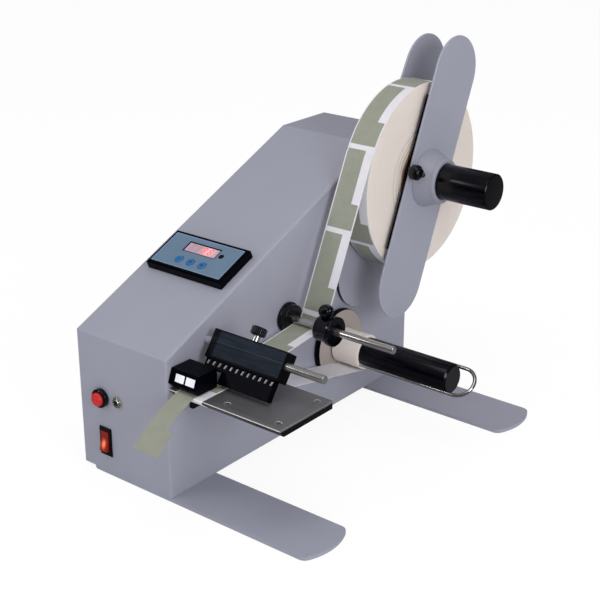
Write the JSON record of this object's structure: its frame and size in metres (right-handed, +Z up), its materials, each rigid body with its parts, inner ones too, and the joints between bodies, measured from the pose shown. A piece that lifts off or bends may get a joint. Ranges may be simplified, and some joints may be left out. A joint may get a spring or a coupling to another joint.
{
  "type": "label dispenser machine",
  "caption": "Desk-standing label dispenser: a supply reel feeds a label web over a peel plate under a press unit, and a motor-driven mandrel winds up the backing.",
  "frame": {"origin": "on the table under the outer face of the mechanism wall, on the centre line of the front foot", "axes": "+X from the mechanism wall out to the reel and plate side, +Y from the front controls to the rear, +Z up"},
  "size_m": [0.3122, 0.5253, 0.4062],
  "materials": {
    "grey_paint": "satin powder coat",
    "zinc_screw": "zinc plated",
    "peel_steel": "ground steel",
    "rod_steel": "polished rod",
    "clip_wire": "bright wire",
    "black_anodised": "black anodised",
    "black_plastic": "moulded",
    "backing_paper": "coated paper",
    "wound_paper": "wound paper edge",
    "olive_label": "matt label stock",
    "core_board": "spiral wound board",
    "adapter_plastic": "moulded",
    "disc_plastic": "pale disc",
    "lamp_white": "opal",
    "panel_blue": "printed face",
    "display_red": "digit window",
    "key_blue": "moulded",
    "button_red": "moulded",
    "rocker_red": "lit rocker",
    "socket_metal": "nickel plated",
    "bearing_bronze": "sintered bronze",
    "bracket_zinc": "zinc plated",
    "motor_can": "motor can",
    "supply_can": "pressed case",
    "pulley_plastic": "moulded",
    "belt_rubber": "flat belt",
    "board_green": "circuit board"
  },
  "bodies": {
    "frame": {"housing_shell": "grey_paint", "left_cover": "grey_paint", "rear_panel": "grey_paint", "base_plate": "grey_paint", "front_foot": "grey_paint", "rear_foot": "grey_paint", "cover_screws": "zinc_screw", "foot_screws": "zinc_screw", "plate_support": "black_anodised", "peel_plate": "peel_steel", "plate_screws": "zinc_screw", "sensor_head": "black_plastic", "sensor_windows": "lamp_white", "press_rod": "rod_steel", "guide_rod": "rod_steel", "guide_flange": "black_anodised", "web_drop": "backing_paper", "web_feed": "backing_paper", "web_return": "backing_paper", "web_labels": "olive_label", "dispensed_label": "olive_label", "panel_bezel": "black_plastic", "panel_face": "panel_blue", "panel_window": "display_red", "counter_case": "black_plastic", "button_collar": "black_plastic", "jack_socket": "socket_metal", "rocker_frame": "black_plastic", "supply_bearing": "bearing_bronze", "rewind_bearing": "bearing_bronze", "motor_bracket": "bracket_zinc", "gear_motor": "motor_can", "drive_belt": "belt_rubber", "power_supply": "supply_can", "controller_board": "board_green", "power_inlet": "black_plastic"},
    "reel": {"supply_shaft": "black_anodised", "inner_paddle": "grey_paint", "core_adapter": "adapter_plastic", "roll_core": "core_board", "label_roll": "wound_paper"},
    "outer_plate": {"outer_paddle": "grey_paint", "outer_hub": "grey_paint"},
    "hub_screw": {"hub_thumbscrew": "black_plastic"},
    "rewind": {"rewind_mandrel": "black_anodised", "rewind_flange": "disc_plastic", "backing_wrap": "wound_paper", "drive_pulley": "pulley_plastic"},
    "clip": {"mandrel_clip": "clip_wire"},
    "motor_drive": {"motor_pulley": "pulley_plastic"},
    "press_unit": {"press_channel": "black_anodised", "press_comb": "black_plastic"},
    "press_clamp": {"press_knob": "black_plastic"},
    "collar": {"guide_collar": "black_anodised"},
    "collar_clamp": {"collar_knob": "black_plastic"},
    "button": {"push_button": "button_red"},
    "rocker": {"power_rocker": "rocker_red"},
    "key_left": {"left_key": "key_blue"},
    "key_middle": {"middle_key": "key_blue"},
    "key_right": {"right_key": "key_blue"}
  },
  "joints": [
    {"name": "reel_spin", "type": "hinge", "parent": "frame", "child": "reel", "pos_m": [0.027, 0.33, 0.258], "axis": [1, 0, 0], "continuous": true},
    {"name": "rewind_spin", "type": "hinge", "parent": "frame", "child": "rewind", "pos_m": [0.027, 0.233, 0.08125], "axis": [1, 0, 0], "continuous": true},
    {"name": "motor_spin", "type": "hinge", "parent": "frame", "child": "motor_drive", "pos_m": [-0.02, 0.158, 0.066], "axis": [1, 0, 0], "continuous": true},
    {"name": "outer_plate_slide", "type": "slide", "parent": "reel", "child": "outer_plate", "axis": [1, 0, 0], "range_m": [-0.004, 0.058]},
    {"name": "hub_screw_turn", "type": "hinge", "parent": "outer_plate", "child": "hub_screw", "pos_m": [0.06062, 0.33, 0.258], "axis": [0, -0.9171, 0.3987], "range_deg": [0, 720]},
    {"name": "clip_pull", "type": "slide", "parent": "rewind", "child": "clip", "axis": [1, 0, 0], "range_m": [0, 0.12]},
    {"name": "press_lift", "type": "hinge", "parent": "frame", "child": "press_unit", "pos_m": [0.0555, 0.025, 0.1565], "axis": [1, 0, 0], "range_deg": [-75, 0]},
    {"name": "press_knob_turn", "type": "hinge", "parent": "press_unit", "child": "press_clamp", "pos_m": [0.0555, 0.025, 0.1565], "axis": [0, 0.5779, 0.8161], "range_deg": [0, 720]},
    {"name": "guide_collar_slide", "type": "slide", "parent": "frame", "child": "collar", "axis": [1, 0, 0], "range_m": [0, 0.07]},
    {"name": "collar_knob_turn", "type": "hinge", "parent": "collar", "child": "collar_clamp", "pos_m": [0.0518, 0.148, 0.1398], "axis": [0, 0, 1], "range_deg": [0, 720]},
    {"name": "button_press", "type": "slide", "parent": "frame", "child": "button", "axis": [0, 1, 0], "range_m": [0, 0.003], "stiffness_N_per_m": 300},
    {"name": "rocker_tilt", "type": "hinge", "parent": "frame", "child": "rocker", "pos_m": [-0.0897, -0.031, 0.0383], "axis": [1, 0, 0], "range_deg": [0, 16]},
    {"name": "left_key_press", "type": "slide", "parent": "frame", "child": "key_left", "axis": [0, 0.3993, -0.9168], "range_m": [0, 0.0006], "stiffness_N_per_m": 500},
    {"name": "middle_key_press", "type": "slide", "parent": "frame", "child": "key_middle", "axis": [0, 0.3993, -0.9168], "range_m": [0, 0.0006], "stiffness_N_per_m": 500},
    {"name": "right_key_press", "type": "slide", "parent": "frame", "child": "key_right", "axis": [0, 0.3993, -0.9168], "range_m": [0, 0.0006], "stiffness_N_per_m": 500}
  ],
  "couplings": [
    {"joint": "rewind_spin", "follows": "reel_spin", "ratio": 5.333},
    {"joint": "motor_spin", "follows": "reel_spin", "ratio": 10.667}
  ]
}
